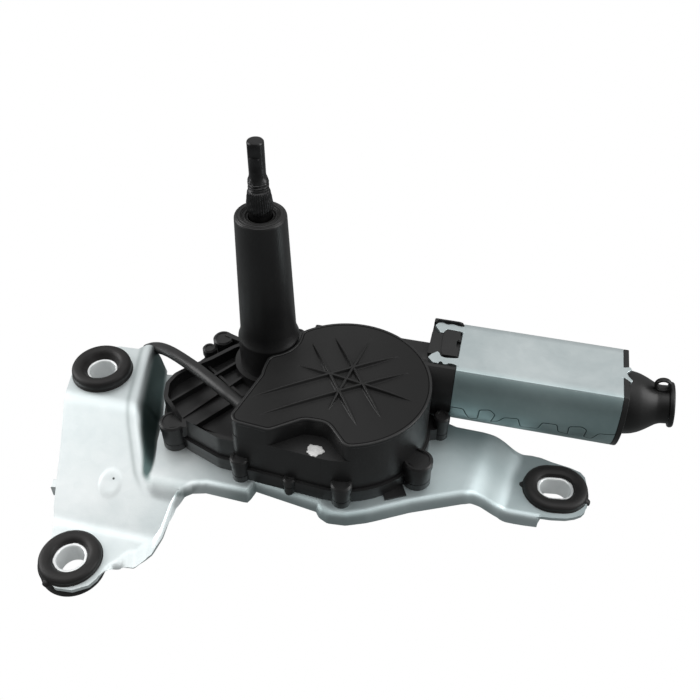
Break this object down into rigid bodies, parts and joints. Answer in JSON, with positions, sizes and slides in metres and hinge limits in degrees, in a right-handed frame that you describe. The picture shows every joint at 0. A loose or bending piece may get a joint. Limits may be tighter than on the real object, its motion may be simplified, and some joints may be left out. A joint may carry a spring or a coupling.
{
  "type": "rear wiper motor",
  "caption": "Rear wiper motor on a stamped bracket: flat motor, worm gearbox, spindle in a long moulded tube, rubber grommets with steel sleeves and a vent hose.",
  "frame": {"origin": "the wiper pivot: middle of the output spindle's thread", "axes": "+Z out along the output spindle, +X along the motor axis towards the connector, +Y to the rear; the bracket's middle plane is level"},
  "size_m": [0.2601, 0.1429, 0.1504],
  "materials": {
    "zinc_sheet": "bright zinc-plated sheet steel",
    "black_housing": "black glass-filled nylon, fine moulded grain",
    "black_lid": "black moulded nylon, slightly smoother",
    "gasket_rubber": "black sealing rubber",
    "black_rubber": "black moulded rubber with a slight sheen",
    "blackened_steel": "black-passivated steel",
    "bright_steel": "bright ground steel",
    "sleeve_steel": "bright zinc-plated steel",
    "spring_steel": "dark spring steel",
    "sintered_bronze": "oil-filled sintered bronze",
    "sintered_steel": "sintered steel",
    "wheel_nylon": "natural acetal",
    "contact_copper": "copper alloy",
    "motor_steel": "galvanised sheet steel, satin",
    "lamination_steel": "stacked electrical steel",
    "winding_copper": "enamelled copper wire",
    "ferrite": "sintered ferrite",
    "brush_carbon": "carbon and copper brush",
    "connector_plastic": "black moulded nylon",
    "terminal_brass": "tinned brass"
  },
  "bodies": {
    "housing": {"mounting_bracket": "zinc_sheet", "gear_case": "black_housing", "case_lid": "black_lid", "base_gasket": "gasket_rubber", "base_cover": "black_housing", "case_screws": "sleeve_steel", "spindle_seal": "gasket_rubber", "spindle_washer": "bright_steel", "upper_bush": "sintered_bronze", "lower_bush": "sintered_bronze", "sector_pivot": "bright_steel", "wheel_axle": "bright_steel", "wheel_clip": "spring_steel", "park_contacts": "contact_copper", "front_bearing": "sintered_bronze", "middle_bearing": "sintered_bronze", "rear_bearing": "sintered_bronze", "motor_can": "motor_steel", "magnets": "ferrite", "brush_holder": "connector_plastic", "brushes": "brush_carbon", "brush_springs": "spring_steel", "end_cap": "connector_plastic", "terminal_pins": "terminal_brass", "connector_boot": "black_rubber", "rear_grommet": "black_rubber", "front_grommet": "black_rubber", "side_grommet": "black_rubber", "rear_sleeve": "sleeve_steel", "front_sleeve": "sleeve_steel", "side_sleeve": "sleeve_steel", "vent_hose": "black_rubber"},
    "rotor": {"armature_shaft": "bright_steel", "armature_core": "lamination_steel", "armature_windings": "winding_copper", "commutator": "contact_copper"},
    "wheel": {"worm_wheel": "wheel_nylon", "park_disc": "contact_copper", "crank_pin": "bright_steel"},
    "spindle": {"output_spindle": "blackened_steel", "spindle_pinion": "sintered_steel", "spindle_circlip": "spring_steel"},
    "sector": {"sector_gear": "sintered_steel", "rod_pin": "bright_steel"},
    "rod": {"connecting_rod": "bright_steel"}
  },
  "joints": [
    {"name": "rotor_spin", "type": "hinge", "parent": "housing", "child": "rotor", "pos_m": [0.1, 0.011, -0.0896], "axis": [1, 0, 0], "continuous": true},
    {"name": "wheel_spin", "type": "hinge", "parent": "housing", "child": "wheel", "pos_m": [0.039, -0.0202, -0.0896], "axis": [0, 0, 1], "continuous": true},
    {"name": "spindle_swing", "type": "hinge", "parent": "housing", "child": "spindle", "pos_m": [0, 0, 0], "axis": [0, 0, 1], "range_deg": [0, 110]},
    {"name": "sector_swing", "type": "hinge", "parent": "housing", "child": "sector", "pos_m": [-0.01807, -0.02006, -0.1038], "axis": [0, 0, 1], "range_deg": [-55, 0]},
    {"name": "rod_swing", "type": "hinge", "parent": "sector", "child": "rod", "pos_m": [-0.01091, -0.03381, -0.0997], "axis": [0, 0, 1], "range_deg": [0, 51.71]}
  ],
  "couplings": [
    {"joint": "wheel_spin", "follows": "rotor_spin", "ratio": 0.019231},
    {"joint": "sector_swing", "follows": "spindle_swing", "ratio": -0.5},
    {"joint": "rod_swing", "follows": "spindle_swing", "ratio": 0.4701}
  ]
}
